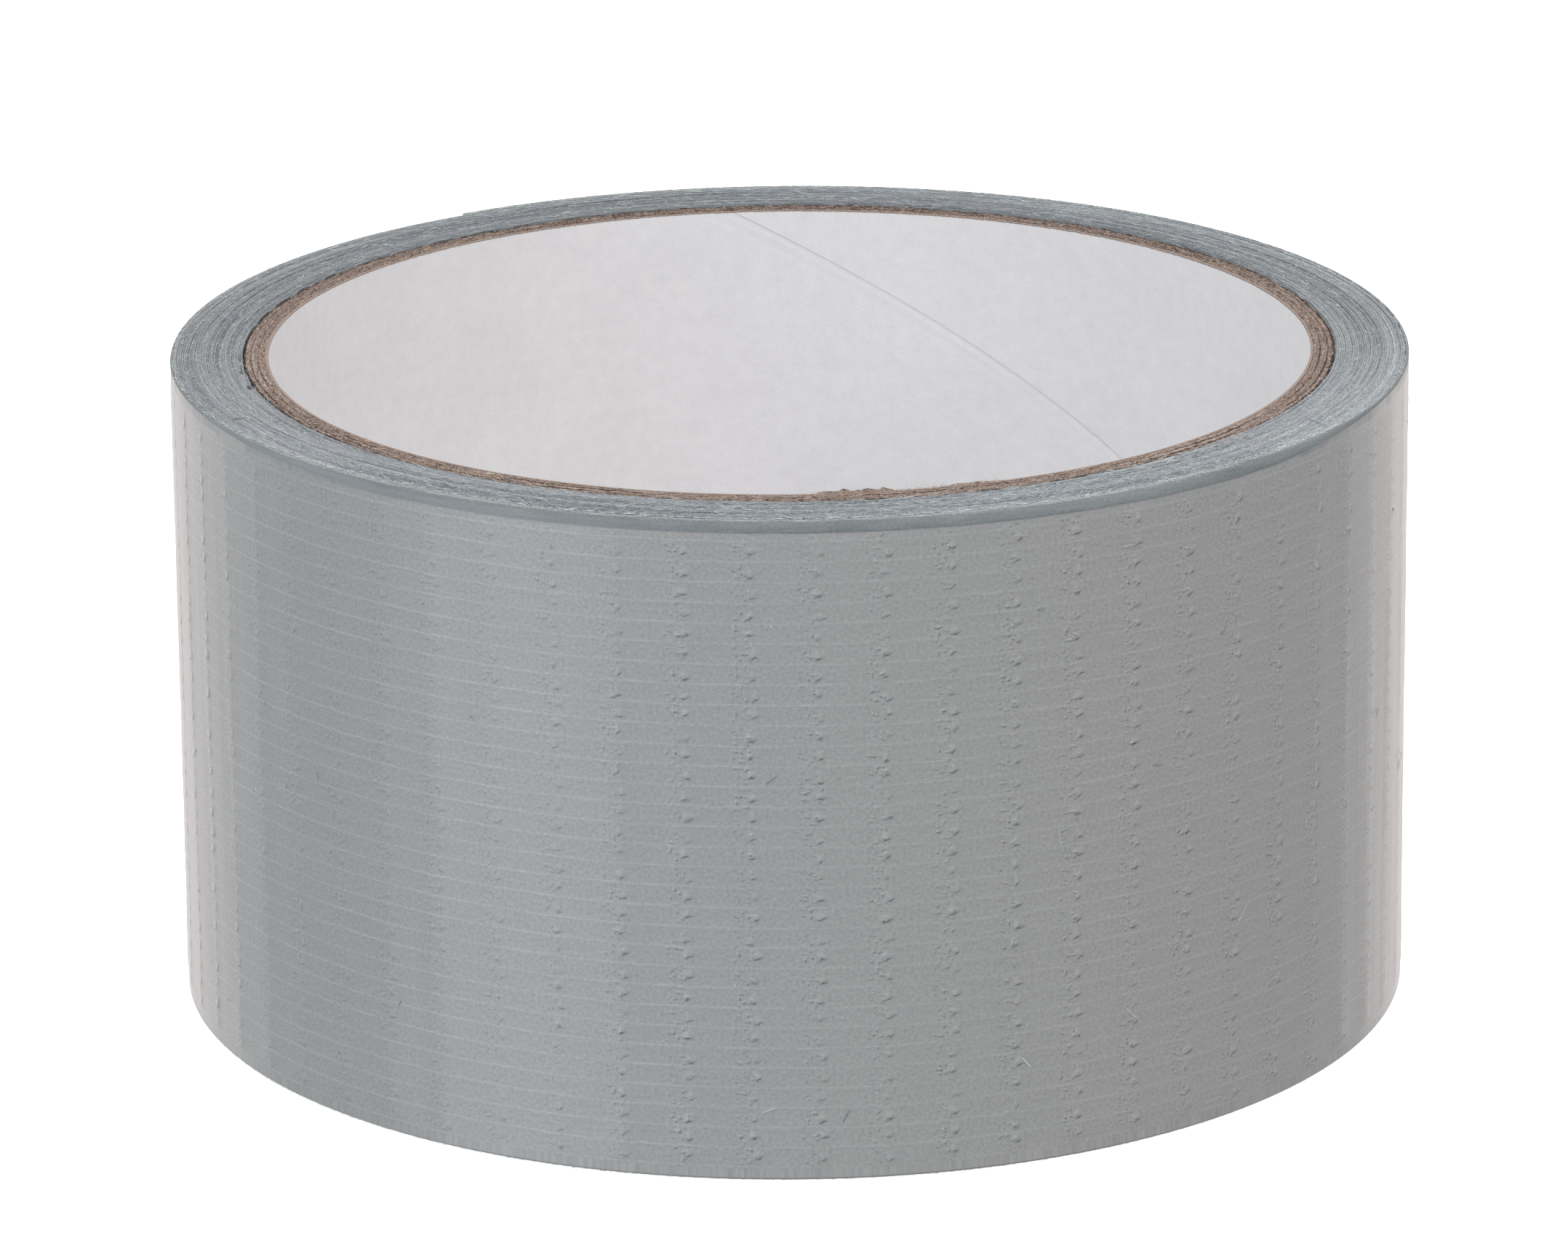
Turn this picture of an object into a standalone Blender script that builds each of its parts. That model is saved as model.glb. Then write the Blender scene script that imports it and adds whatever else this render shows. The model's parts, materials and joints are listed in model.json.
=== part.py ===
"""Duct tape roll: a spiral-wound paper core carrying about 37 turns of cloth-backed tape.

The origin is the centre of the bore, in the plane that the roll rests on, and +Z runs along the bore.
The core is a white liner and three board plies, each a paper strip wound as a helix with a butt seam.
The tape is a laminate of backing film, cloth scrim and adhesive. The inner turns, stuck to one another,
are one solid. The outermost turn is modelled layer by layer, and its last stretch is a tail of short
links, hinged to one another at the backing, so that the free end can be peeled off the roll.
"""

import math

import bmesh
import bpy
from mathutils import Vector

MM = 0.001

# Driving dimensions of the roll
TAPE_WIDTH = 48 * MM
TAPE_LENGTH = 10.0
BORE_RADIUS = 38 * MM
CORE_LENGTH = 47.7 * MM

# The core's plies, from the bore outwards
LINER_THICKNESS = 0.18 * MM
BOARD_THICKNESS = 0.52 * MM
GLUE_GAP = 0.015 * MM
SEAM_PITCH = 127.8 * MM
SEAM_GAP = 0.25 * MM
LINER_SEAM_AT_MID_HEIGHT = math.radians(29)
PLY_STAGGER = math.radians(100)

# The tape's layers, from its outer face inwards
BACKING_THICKNESS = 0.055 * MM
SCRIM_THICKNESS = 0.040 * MM
ADHESIVE_THICKNESS = 0.030 * MM
LAYER_GAP = 0.005 * MM
TAPE_PITCH = BACKING_THICKNESS + SCRIM_THICKNESS + ADHESIVE_THICKNESS + 3 * LAYER_GAP

# The round shapes share one set of facets, so that nested layers keep their gaps
FACETS = 96
FACET = 2 * math.pi / FACETS

# The free end
TIP_FACET = 33
TAIL_LINKS = 10
LINK_FACETS = 2
LINK_GAP = 0.05 * MM

# Colours as (red, green, blue), roughness and metallic value
FINISHES = {
    "backing": ((0.36, 0.38, 0.385), 0.42, 0.15),
    "wound_edge": ((0.30, 0.34, 0.36), 0.80, 0.0),
    "scrim": ((0.72, 0.72, 0.69), 0.90, 0.0),
    "adhesive": ((0.62, 0.61, 0.55), 0.35, 0.0),
    "board": ((0.27, 0.19, 0.145), 0.95, 0.0),
    "liner": ((0.74, 0.73, 0.75), 0.85, 0.0),
}

BOARD_PLIES = ("core_board_inner", "core_board_middle", "core_board_outer")
TAPE_LAYERS = (
    ("backing", BACKING_THICKNESS),
    ("scrim", SCRIM_THICKNESS),
    ("adhesive", ADHESIVE_THICKNESS),
)

WALL_THICKNESS = LINER_THICKNESS + len(BOARD_PLIES) * (BOARD_THICKNESS + GLUE_GAP)
FIRST_TURN_RADIUS = BORE_RADIUS + WALL_THICKNESS + GLUE_GAP


def number_of_turns():
    """Turns in a strip of TAPE_LENGTH, rounded to whole facets: length = 2 pi (r n + pitch n^2 / 2)."""
    first_middle = FIRST_TURN_RADIUS + TAPE_PITCH / 2
    wound = TAPE_LENGTH / math.pi * TAPE_PITCH
    turns = (math.sqrt(first_middle**2 + wound) - first_middle) / TAPE_PITCH
    return round(turns * FACETS) / FACETS


TURNS = number_of_turns()
TIP_ANGLE = TIP_FACET * FACET
TAIL_ANGLE = TIP_ANGLE - TAIL_LINKS * LINK_FACETS * FACET


def outer_radius(angle):
    """Outer face of the strip at a winding angle, which is TIP_ANGLE at the free end and less before it."""
    turns_before_tip = (TIP_ANGLE - angle) / (2 * math.pi)
    return FIRST_TURN_RADIUS + TAPE_PITCH * (TURNS + 1 - turns_before_tip)


def polar(radius, angle, height=0.0):
    return Vector((radius * math.cos(angle), radius * math.sin(angle), height))


def clear_scene():
    for obj in list(bpy.data.objects):
        bpy.data.objects.remove(obj, do_unlink=True)


def new_collection(name):
    collection = bpy.data.collections.new(name)
    bpy.context.scene.collection.children.link(collection)
    return collection


def make_materials():
    materials = {}
    for name, (colour, roughness, metallic) in FINISHES.items():
        material = bpy.data.materials.new(name)
        material.use_nodes = True
        shader = material.node_tree.nodes["Principled BSDF"]
        shader.inputs["Base Color"].default_value = (*colour, 1.0)
        shader.inputs["Roughness"].default_value = roughness
        shader.inputs["Metallic"].default_value = metallic
        materials[name] = material
    return materials


def move_to(obj, collection):
    for owner in list(obj.users_collection):
        owner.objects.unlink(obj)
    collection.objects.link(obj)


def solidify(obj, thickness, offset):
    """Thickens an open surface: offset -1 adds material behind it, 0 on both sides."""
    modifier = obj.modifiers.new("Thickness", "SOLIDIFY")
    modifier.thickness = thickness
    modifier.offset = offset
    modifier.use_even_offset = True


def finish(obj, material, collection):
    obj.data.materials.append(material)
    for polygon in obj.data.polygons:
        polygon.use_smooth = True
    obj.data.set_sharp_from_angle(angle=math.radians(30))
    move_to(obj, collection)


def bent_grid(name, columns, place):
    """A grid one row high, bent into shape: place(along, across) gives each point, both running 0 to 1."""
    bpy.ops.mesh.primitive_grid_add(x_subdivisions=columns, y_subdivisions=1, size=1)
    obj = bpy.context.object
    obj.name = name
    obj.data.name = name
    for vertex in obj.data.vertices:
        vertex.co = place(vertex.co.x + 0.5, vertex.co.y + 0.5)
    obj.data.update()
    return obj


def seam_blade(name, radius, seam_angle, cutters):
    """A helical ribbon through a ply's wall. seam_angle is where the seam crosses mid height."""
    reach = 1.5 * MM
    facets_each_way = math.ceil((TAPE_WIDTH / 2 + reach) / SEAM_PITCH * FACETS)

    def place(along, across):
        turned = (2 * along - 1) * facets_each_way * FACET
        height = TAPE_WIDTH / 2 + SEAM_PITCH * turned / (2 * math.pi)
        return polar(radius + (across - 0.5) * 2 * reach, seam_angle + turned, height)

    blade = bent_grid(name, 2 * facets_each_way, place)
    solidify(blade, SEAM_GAP, 0)
    blade.hide_render = True
    blade.display_type = "WIRE"
    move_to(blade, cutters)
    return blade


def core_ply(name, inner_radius, thickness, seam_angle, material, collections):
    """One paper strip of the core: a thin tube slit along its helical butt seam."""
    outer = inner_radius + thickness
    bpy.ops.mesh.primitive_cylinder_add(
        vertices=FACETS,
        radius=outer,
        depth=CORE_LENGTH,
        end_fill_type="NOTHING",
        location=(0, 0, TAPE_WIDTH / 2),
    )
    ply = bpy.context.object
    ply.name = name
    solidify(ply, thickness, -1)
    whole_facets = round(seam_angle / FACET) * FACET
    cut = ply.modifiers.new("Seam", "BOOLEAN")
    cut.operation = "DIFFERENCE"
    cut.object = seam_blade(name + "_seam", outer, whole_facets, collections["cutters"])
    finish(ply, material, collections["parts"])
    return ply


def build_core(materials, collections):
    """The liner and the board plies, each on the one inside it, with their seams staggered."""
    plies = [("core_liner", LINER_THICKNESS, "liner")]
    plies += [(name, BOARD_THICKNESS, "board") for name in BOARD_PLIES]
    radius = BORE_RADIUS
    made = []
    for number, (name, thickness, finish_name) in enumerate(plies):
        seam = LINER_SEAM_AT_MID_HEIGHT + number * PLY_STAGGER
        made.append(core_ply(name, radius, thickness, seam, materials[finish_name], collections))
        radius += thickness + GLUE_GAP
    return made


def spiral_loop(outline, first_angle, inset):
    """One turn of the strip's outer face, less inset, as a closed outline with a step where it meets itself."""
    angles = [first_angle + i * FACET for i in range(FACETS + 1)]
    spline = outline.splines.new("POLY")
    spline.points.add(FACETS)
    for point, angle in zip(spline.points, angles):
        point.co = (*polar(outer_radius(angle) - inset, angle), 1.0)
    spline.use_cyclic_u = True


def build_wound_tape(materials, collections):
    """All turns but the outermost, from the start of the strip on the core to one turn before its tip."""
    outline = bpy.data.curves.new("wound_tape", "CURVE")
    outline.dimensions = "2D"
    outline.fill_mode = "BOTH"
    outline.extrude = TAPE_WIDTH / 2
    start_angle = TIP_ANGLE - TURNS * 2 * math.pi
    spiral_loop(outline, TIP_ANGLE - 4 * math.pi, LAYER_GAP)
    spiral_loop(outline, start_angle, TAPE_PITCH)
    wound = bpy.data.objects.new("wound_tape", outline)
    wound.location = (0, 0, TAPE_WIDTH / 2)
    outline.materials.append(materials["wound_edge"])
    collections["parts"].objects.link(wound)
    return wound


def strip(name, first_facet, facets, depth, thickness, material, collections):
    """A stretch of one layer of the outermost turn. Facets count from the tail's first link."""
    half_gap = LINK_GAP / 2 / outer_radius(TIP_ANGLE)
    first = TAIL_ANGLE + first_facet * FACET

    def place(along, across):
        angle = first + along * facets * FACET
        if along < 0.5 / facets:
            angle += half_gap
        elif along > 1 - 0.5 / facets:
            angle -= half_gap
        return polar(outer_radius(angle) - depth, angle, across * TAPE_WIDTH)

    layer = bent_grid(name, facets, place)
    solidify(layer, thickness, -1)
    finish(layer, material, collections["parts"])
    return layer


def laminate(stem, first_facet, facets, materials, collections):
    """The backing, scrim and adhesive of one stretch of tape."""
    made = []
    depth = 0.0
    for layer, thickness in TAPE_LAYERS:
        name = f"{stem}_{layer}"
        made.append(
            strip(name, first_facet, facets, depth, thickness, materials[layer], collections)
        )
        depth += thickness + LAYER_GAP
    return made


def new_empty(name, location, parent, collection):
    """A joint's frame at a place in the roll, hung on the joint before it. All these frames are unturned."""
    empty = bpy.data.objects.new(name, None)
    empty.empty_display_size = 5 * MM
    empty.parent = parent
    empty.location = location - (parent.matrix_world.translation if parent else Vector())
    collection.objects.link(empty)
    bpy.context.view_layer.update()
    return empty


def hang(obj, empty):
    """Puts a piece that was built in the roll's frame on an empty, and the piece's origin with it."""
    pivot = empty.matrix_world.translation
    shape = bmesh.new()
    shape.from_mesh(obj.data)
    bmesh.ops.translate(shape, vec=-pivot, verts=shape.verts)
    shape.to_mesh(obj.data)
    shape.free()
    obj.parent = empty


def build_tail(materials, collections, roll):
    """The free end: links hinged on the backing's outer face, each carried by the one before it."""
    carrier = roll
    for number in range(TAIL_LINKS):
        first_facet = number * LINK_FACETS
        hinge_angle = TAIL_ANGLE + first_facet * FACET
        pivot = polar(outer_radius(hinge_angle), hinge_angle)
        stem = f"tail_{number + 1}"
        carrier = new_empty(stem + "_hinge", pivot, carrier, collections["parts"])
        for layer in laminate(stem, first_facet, LINK_FACETS, materials, collections):
            hang(layer, carrier)


def main():
    clear_scene()
    collections = {
        "parts": new_collection("Duct tape roll"),
        "cutters": new_collection("Cutters"),
    }
    materials = make_materials()
    roll = new_empty("roll", Vector(), None, collections["parts"])
    fixed = build_core(materials, collections)
    fixed.append(build_wound_tape(materials, collections))
    held_facets = FACETS - TAIL_LINKS * LINK_FACETS
    fixed += laminate("outer_turn", -held_facets, held_facets, materials, collections)
    for piece in fixed:
        piece.parent = roll
    build_tail(materials, collections, roll)


main()
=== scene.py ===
"""Looks of a duct tape roll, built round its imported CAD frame.

Shapes are worked out in millimetres and turned into metres when a mesh is made. Angles run anticlockwise
from +X. An angle along the tape goes on growing from turn to turn and is TIP_ANGLE at the free end.
"""

import json
import math

import bpy
import numpy as np
from mathutils import Matrix, Vector


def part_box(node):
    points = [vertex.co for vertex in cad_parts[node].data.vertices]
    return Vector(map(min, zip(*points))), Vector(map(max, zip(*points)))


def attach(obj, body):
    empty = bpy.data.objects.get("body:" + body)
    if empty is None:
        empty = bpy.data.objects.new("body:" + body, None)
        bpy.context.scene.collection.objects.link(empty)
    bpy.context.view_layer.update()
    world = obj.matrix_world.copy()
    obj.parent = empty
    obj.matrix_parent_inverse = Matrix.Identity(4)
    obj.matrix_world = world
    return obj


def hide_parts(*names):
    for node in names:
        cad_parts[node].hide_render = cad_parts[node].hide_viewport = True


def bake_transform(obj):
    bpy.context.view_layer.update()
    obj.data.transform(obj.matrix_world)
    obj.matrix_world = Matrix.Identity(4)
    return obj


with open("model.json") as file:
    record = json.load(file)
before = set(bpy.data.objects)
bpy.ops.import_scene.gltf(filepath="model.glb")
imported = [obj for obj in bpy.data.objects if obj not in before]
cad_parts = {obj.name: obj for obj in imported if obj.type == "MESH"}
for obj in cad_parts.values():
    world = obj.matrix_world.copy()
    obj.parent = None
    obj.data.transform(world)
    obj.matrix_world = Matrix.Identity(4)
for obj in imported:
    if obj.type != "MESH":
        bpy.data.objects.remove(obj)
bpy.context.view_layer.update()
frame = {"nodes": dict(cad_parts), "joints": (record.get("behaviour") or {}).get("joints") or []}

MM = 0.001
TURN = 2 * math.pi

# The tape, from the frame: where its free end is hinged, and the height of the roll
HINGES = [np.array(joint["pos_m"]) / MM for joint in frame["joints"]]
HINGE_ANGLES = [math.atan2(point[1], point[0]) for point in HINGES]
LINK_ANGLE = HINGE_ANGLES[1] - HINGE_ANGLES[0]
BASE_ANGLE = HINGE_ANGLES[0]
TIP_ANGLE = HINGE_ANGLES[-1] + LINK_ANGLE
TAPE_PITCH = 0.14
RIM_RADIUS = np.hypot(*HINGES[0][:2]) + TAPE_PITCH * (TIP_ANGLE - BASE_ANGLE) / TURN
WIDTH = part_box("wound_tape")[1].z / MM
LINKS = len(HINGES)

# Radii of the core's inner face, of the board behind its liner, and of the tape's innermost turn
CORE_BORE = 38.0
BOARD_BORE = 38.15
TAPE_BORE = 39.8

# The tape's layers, from its outer face inwards: depth and thickness
BACKING = (0.0, 0.055)
SCRIM = (0.060, 0.040)
ADHESIVE = (0.105, 0.030)

# The slit edges are pressed over into a shoulder, which starts at a crease on the side.
# The lower shoulder is pressed over less than the front of the upper one, whose share is 1.
SHOULDER_IN = 1.0
SHOULDER_DOWN = 0.78
SHOULDER_START = math.radians(25)
LOW_CREASE = SHOULDER_DOWN
HIGH_CREASE = WIDTH - SHOULDER_DOWN
CREASE_STEP = 0.05
LOW_PRESS = 0.3

# The cloth that shows through the backing: warp threads run along the tape, weft threads across it
WARP_PITCH = 1.47
WARP_FIRST = 1.05
WEFT_PITCH = 4.65
WEFT_ANGLE = math.radians(-99.4)
WARP_ROWS = (0.0, 0.18, 0.55, 0.92, 1.29)
WEFT_COLUMNS = (-1.75, -1.35, -1.0, -0.7, -0.45, -0.22, 0.0, 0.2, 0.45, 1.3, 2.1)

# The core's helical seams: the climb in one turn, and where each strip's seam is at half height
SEAM_PITCH = 127.8
SEAM_ANGLES = {
    "core_liner": math.radians(29.3),
    "core_board_inner": math.radians(127.5),
    "core_board_middle": math.radians(228.8),
    "core_board_outer": math.radians(330.0),
}

# The gap between a strip's two edges, and how much of the liner laps over its own edge
SEAM_GAP = 0.02
LINER_LAP = 2.2

# Gaps in the innermost turns at the upper end, in degrees round from the front
HOLES = (-86.6, -81.9, -76.0)

# The slit edges lie this far inside the roll's two ends, and their middle radius
SLIT_SINK = 0.09
SLIT_RADIUS = 42.0

# Lint keeps this far from the tape's edges and from its free end
LINT_MARGIN = 2.5


# ---------------------------------------------------------------- repeatable irregularity


def scatter(*cells):
    """A repeatable random number from 0 to 1 for each cell of a pattern."""
    mixed = sum(cell * factor for cell, factor in zip(cells, (12.9898, 78.233, 37.719)))
    wild = np.sin(mixed + 1.7) * 43758.5453
    return wild - np.floor(wild)


def ripple(position, wavelengths, seed):
    """Waves of several lengths with random phases, from about -1 to 1."""
    random = np.random.default_rng(seed)
    total = 0
    for wavelength in wavelengths:
        total = total + np.sin(TURN * (position / wavelength + random.random()))
    return total / math.sqrt(len(wavelengths))


def ring_ripple(angle, orders, seed):
    """The same round a circle, where orders are whole numbers of waves, so that the ends meet."""
    random = np.random.default_rng(seed)
    total = 0
    for order in orders:
        total = total + np.sin(order * angle + TURN * random.random())
    return total / math.sqrt(len(orders))


def smooth(value, low, high):
    """0 below low, 1 above high, smooth between."""
    share = np.clip((value - low) / (high - low), 0, 1)
    return share * share * (3 - 2 * share)


# ---------------------------------------------------------------- meshes


def grid_faces(rows, columns, first=0, closed=False, flip=False):
    """Quads of a grid of points kept row by row. closed joins the last column to the first."""
    spans = columns if closed else columns - 1
    row, column = np.meshgrid(np.arange(rows - 1), np.arange(spans), indexing="ij")
    here = first + row * columns + column
    beside = first + row * columns + (column + 1) % columns
    quads = np.stack([here, beside, beside + columns, here + columns], -1).reshape(-1, 4)
    return quads[:, ::-1] if flip else quads


def new_piece(name, points, quads, material, ngons=(), places=None, sharp=40):
    """A mesh object. places are three numbers a point, such as its place on the tape, for its material."""
    mesh = bpy.data.meshes.new(name)
    mesh.vertices.add(len(points))
    mesh.vertices.foreach_set("co", (np.asarray(points) * MM).astype(np.float32).ravel())
    corners = np.concatenate([np.asarray(quads).ravel()] + [np.asarray(face) for face in ngons])
    sizes = np.array([4] * len(quads) + [len(face) for face in ngons])
    mesh.loops.add(len(corners))
    mesh.loops.foreach_set("vertex_index", corners.astype(np.int32))
    mesh.polygons.add(len(sizes))
    starts = np.concatenate([[0], np.cumsum(sizes)[:-1]])
    mesh.polygons.foreach_set("loop_start", starts.astype(np.int32))
    mesh.update(calc_edges=True)
    mesh.shade_smooth()
    mesh.set_sharp_from_angle(angle=math.radians(sharp))
    if places is not None:
        attribute = mesh.attributes.new("place", "FLOAT_VECTOR", "POINT")
        attribute.data.foreach_set("vector", np.asarray(places, np.float32).ravel())
    mesh.materials.append(material)
    piece = bpy.data.objects.new(name, mesh)
    bpy.context.scene.collection.objects.link(piece)
    return piece


def around(radius, angle, height):
    """Points from radii, angles and heights of matching shapes."""
    radius, angle, height = np.broadcast_arrays(radius, angle, height)
    points = np.stack([radius * np.cos(angle), radius * np.sin(angle), height], -1)
    return points.reshape(-1, 3)


# ---------------------------------------------------------------- the tape


def shoulder(steps):
    """From the crease to the lip: how far in, how far up, the outward normal and the length so far."""
    turned = np.linspace(SHOULDER_START, math.pi / 2, steps)
    start_cos, start_sin = math.cos(SHOULDER_START), math.sin(SHOULDER_START)
    inward = SHOULDER_IN * (start_cos - np.cos(turned)) / start_cos
    up = SHOULDER_DOWN * (np.sin(turned) - start_sin) / (1 - start_sin)
    normal_out = SHOULDER_DOWN * np.cos(turned) / (1 - start_sin)
    normal_up = SHOULDER_IN * np.sin(turned) / start_cos
    size = np.hypot(normal_out, normal_up)
    length = np.concatenate([[0], np.cumsum(np.hypot(np.diff(inward), np.diff(up)))])
    rows = np.stack([inward, up, normal_out / size, normal_up / size, length], 1)
    before_crease = [0, -CREASE_STEP, 1, 0, -CREASE_STEP]
    return np.concatenate([[before_crease], rows])


def section(heights, lip_steps):
    """The tape's outline from its lower lip to its upper one.

    Each row holds which end it belongs to (-1, 0 or 1), how far in it is, its height above the crease
    or above the ground, its normal and its place across the tape.
    """
    lip = shoulder(lip_steps)
    top = [[1, inward, up, out, rise, HIGH_CREASE + length] for inward, up, out, rise, length in lip]
    bottom = [[-1, inward, up, out, -rise, LOW_CREASE - length] for inward, up, out, rise, length in lip]
    side = [[0, 0, height, 1, 0, height] for height in heights]
    return np.array(bottom[::-1] + side + top)


def fine_heights():
    """Rows at and between the warp threads."""
    rows = [LOW_CREASE + 0.05, HIGH_CREASE - 0.05]
    thread = WARP_FIRST - WARP_PITCH
    while thread < HIGH_CREASE:
        rows += [thread + row for row in WARP_ROWS]
        thread += WARP_PITCH
    inside = [row for row in rows if LOW_CREASE + 0.04 < row < HIGH_CREASE - 0.04]
    return sorted(inside)


def fine_angles(first, last):
    """Columns at and between the weft threads, from one angle along the tape to another."""
    spare = 0.08 / RIM_RADIUS
    columns = [first, last]
    step = WEFT_PITCH / RIM_RADIUS
    number = math.floor((first - WEFT_ANGLE) / step)
    while WEFT_ANGLE + number * step < last + step:
        thread = WEFT_ANGLE + number * step
        for column in WEFT_COLUMNS:
            angle = thread + column / RIM_RADIUS
            if first + spare < angle < last - spare:
                columns.append(angle)
        number += 1
    return np.array(sorted(columns))


FINE = section(fine_heights(), 8)
COARSE = section(np.linspace(LOW_CREASE + 0.1, HIGH_CREASE - 0.1, 6), 8)


def along(angles):
    """Length along the tape from a weft thread that faces the front."""
    return RIM_RADIUS * (angles - WEFT_ANGLE)


def from_front(angle):
    """Degrees round from the front, -Y, anticlockwise, between -180 and 180."""
    return np.degrees(np.angle(np.exp(1j * (angle + math.pi / 2))))


def pressed(angle):
    """How far the upper shoulder is pressed over: fully at the front, hardly at the sides and back."""
    round_from_front = from_front(angle)
    return 0.22 + 0.78 * smooth(round_from_front, -74, -30) * smooth(-round_from_front, -71, -42)


def wrap(rows, angles, depth):
    """Points at a depth under the outline of the wound roll, each turn lying one pitch under the next."""
    end, inward, up, normal_out, normal_up = (rows[:, column : column + 1] for column in range(5))
    press = np.where(end > 0, pressed(angles)[None, :], LOW_PRESS)
    crease = SHOULDER_DOWN * press
    height = np.where(end > 0, WIDTH - crease + up * press, np.where(end < 0, crease - up * press, up))
    under = depth + TAPE_PITCH * (TIP_ANGLE - angles[None, :]) / TURN
    radius = RIM_RADIUS - inward * press - normal_out * under
    return around(radius, angles[None, :], height - normal_up * under)


def pillow_size(length, across):
    """How full the cloth's pillow is in each cell between two warp threads and round one weft thread."""
    weft = np.round(length / WEFT_PITCH)
    cell = np.floor((across - WARP_FIRST) / WARP_PITCH)
    boldness = 1 - 0.55 * smooth(length, -52, -38) * smooth(-length, -6, 22) - 0.15 * smooth(length, 26, 46)
    return (0.40 + 0.60 * scatter(weft, cell)) * boldness


def strip_places(rows, angles):
    """For each point: length along the tape, place across it, and the fullness of the pillow there."""
    length, across = np.meshgrid(along(angles), rows[:, 5])
    return np.stack([length, across, pillow_size(length, across)], -1).reshape(-1, 3)


def cloth_relief(length, across):
    """How far the cloth's threads lift the surface over it. Weft loops make a column of small pillows."""
    beside = length - np.round(length / WEFT_PITCH) * WEFT_PITCH
    over = np.mod(across - WARP_FIRST, WARP_PITCH) - WARP_PITCH / 2
    pillow = pillow_size(length, across) * np.exp(-((beside / 0.3) ** 2) - (over / 0.42) ** 2)
    thread = np.exp(-(((WARP_PITCH / 2 - np.abs(over)) / 0.16) ** 2))
    band = np.exp(-(((beside + 0.35) / 0.8) ** 2)) * (1 + 0.5 * ripple(across, (13, 29, 7), 3))
    sway = ripple(length + 0.1 * across, (6.5, 11, 19), 5) + 0.5 * ripple(length, (2.4, 3.7), 6)
    between_creases = smooth(across, LOW_CREASE, LOW_CREASE + 0.8)
    between_creases = between_creases * smooth(-across, -HIGH_CREASE, -HIGH_CREASE + 0.8)
    lift = 0.030 * pillow + 0.007 * thread + 0.026 * band + 0.014 * sway
    return lift * between_creases


def sheet(name, first, last, layer, material, relief_out=0.0, relief_in=0.0):
    """A closed stretch of one layer of the tape. A relief above 0 puts the cloth's relief on that side."""
    depth, thickness = layer
    angles = fine_angles(first, last)
    parts = []
    for relief, under in ((relief_out, depth), (-relief_in, depth + thickness)):
        rows = FINE if relief else COARSE
        length, across = np.meshgrid(along(angles), rows[:, 5])
        bulge = relief * cloth_relief(length, across)
        parts.append((rows, wrap(rows, angles, under - bulge), strip_places(rows, angles)))
    (out_rows, out_points, out_places), (in_rows, in_points, in_places) = parts
    columns = len(angles)
    inner = len(out_points)
    quads = [
        grid_faces(len(out_rows), columns),
        grid_faces(len(in_rows), columns, inner, flip=True),
    ]
    for out_row, in_row, flip in ((len(out_rows) - 1, len(in_rows) - 1, False), (0, 0, True)):
        edge = out_row * columns + np.arange(columns - 1)
        under = inner + in_row * columns + np.arange(columns - 1)
        rim = np.stack([edge, edge + 1, under + 1, under], 1)
        quads.append(rim[:, ::-1] if flip else rim)
    ends = []
    for column, flip in ((0, False), (columns - 1, True)):
        outside = column + columns * np.arange(len(out_rows))
        inside = inner + column + columns * np.arange(len(in_rows))
        loop = np.concatenate([outside, inside[::-1]])
        ends.append(loop[::-1] if flip else loop)
    points = np.concatenate([out_points, in_points])
    places = np.concatenate([out_places, in_places])
    return new_piece(name, points, np.concatenate(quads), material, ends, places)


# ---------------------------------------------------------------- shader arithmetic


class Value:
    """A number in a material, one for each point shaded. Arithmetic on it adds Math nodes."""

    def __init__(self, graph, socket):
        self.graph = graph
        self.socket = socket

    def __add__(self, other):
        return self.graph.math("ADD", self, other)

    def __sub__(self, other):
        return self.graph.math("SUBTRACT", self, other)

    def __rsub__(self, other):
        return self.graph.math("SUBTRACT", other, self)

    def __mul__(self, other):
        return self.graph.math("MULTIPLY", self, other)

    def __truediv__(self, other):
        return self.graph.math("DIVIDE", self, other)

    __radd__ = __add__
    __rmul__ = __mul__


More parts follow.
